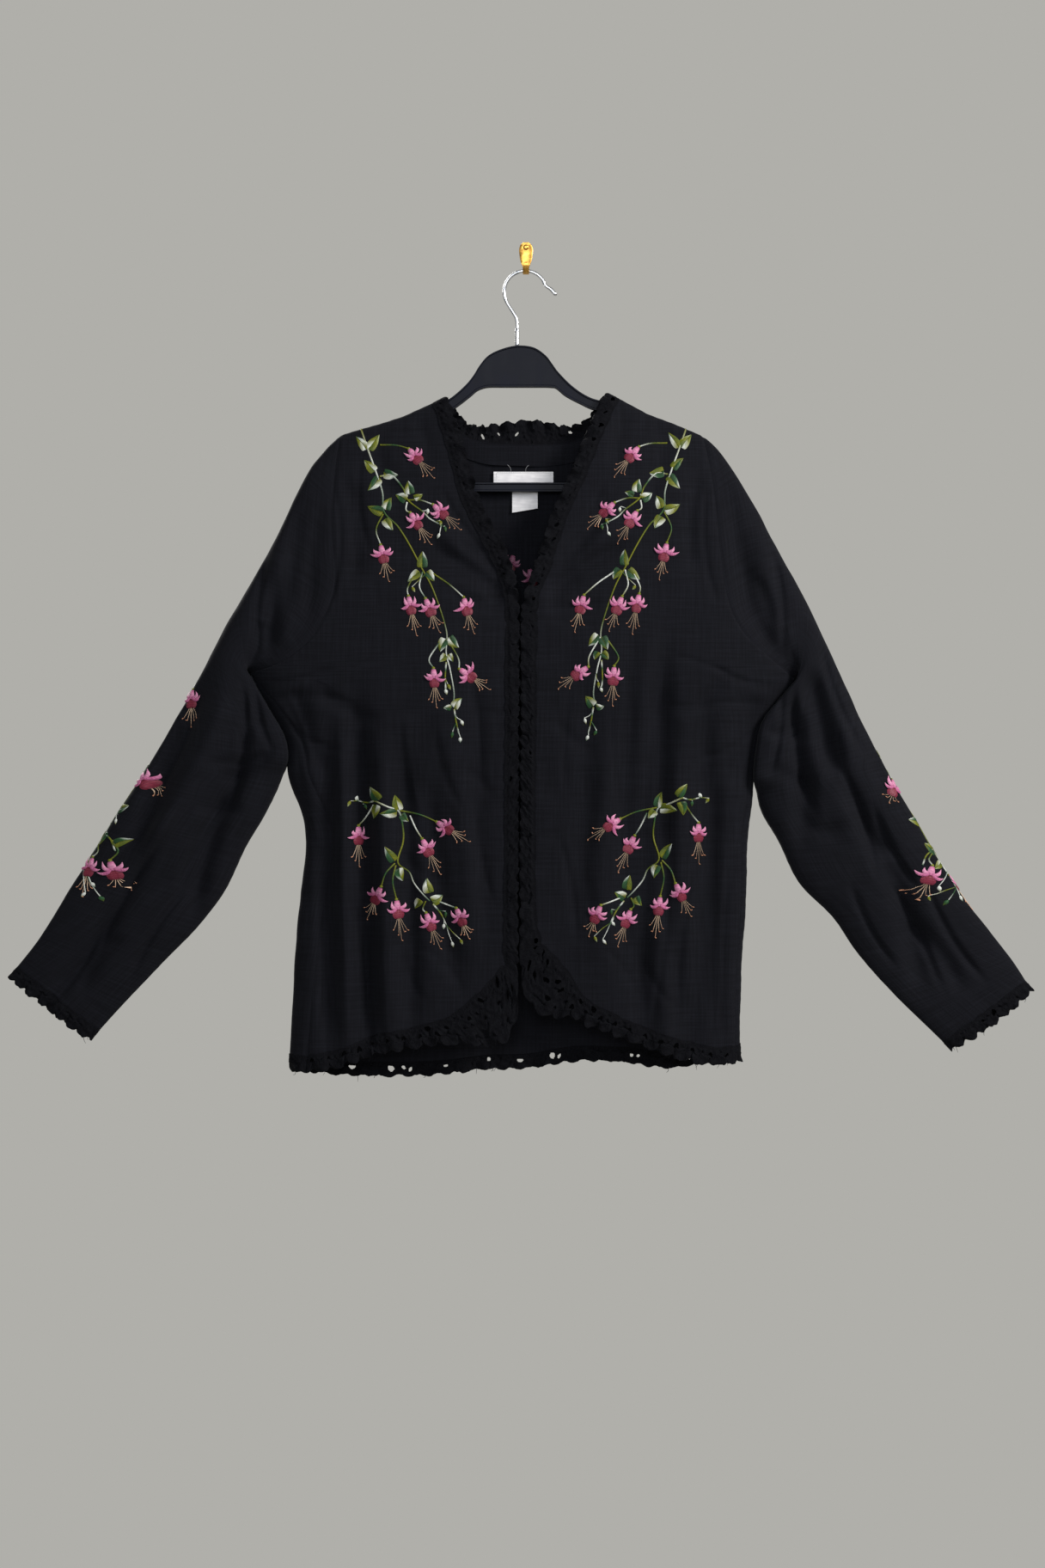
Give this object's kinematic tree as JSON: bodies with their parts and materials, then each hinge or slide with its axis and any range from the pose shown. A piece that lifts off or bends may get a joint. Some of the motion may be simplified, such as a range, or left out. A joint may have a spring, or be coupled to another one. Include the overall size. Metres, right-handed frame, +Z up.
{
  "type": "cardigan on a hanger and wall hook",
  "caption": "Open-front long-sleeved cloth cardigan with scalloped openwork edging, hung flat on a moulded hanger from a small wall hook.",
  "frame": {"origin": "on the wall hook's flat back face, where it lies against the wall", "axes": "+X to the viewer's right, +Y into the wall, +Z up"},
  "size_m": [1.042, 0.0574, 0.8539],
  "materials": {
    "linen": "matt black linen weave",
    "lace": "matt black crochet cord",
    "label_tape": "smooth satin tape",
    "embroidery_thread": "stranded silk thread in pinks, greens and tan",
    "hanger_plastic": "fine matt moulded",
    "chrome": "bright wire",
    "brass": "plated, a little dulled"
  },
  "bodies": {
    "root": {"back_panel": "linen", "front_panel_left": "linen", "front_panel_right": "linen", "sleeve_left": "linen", "sleeve_right": "linen", "back_neck_facing": "linen", "neck_lace_left": "lace", "neck_lace_right": "lace", "centre_lace_left": "lace", "centre_lace_right": "lace", "hem_lace_left": "lace", "hem_lace_right": "lace", "back_hem_lace": "lace", "back_neck_lace": "lace", "cuff_lace_left_front": "lace", "cuff_lace_left_back": "lace", "cuff_lace_right_front": "lace", "cuff_lace_right_back": "lace", "neck_label": "label_tape", "care_label": "label_tape", "hanger_arms": "hanger_plastic", "hanger_bar": "hanger_plastic", "hanger_hook": "chrome", "wall_hook": "brass", "wall_nail": "brass"}
  },
  "joints": []
}
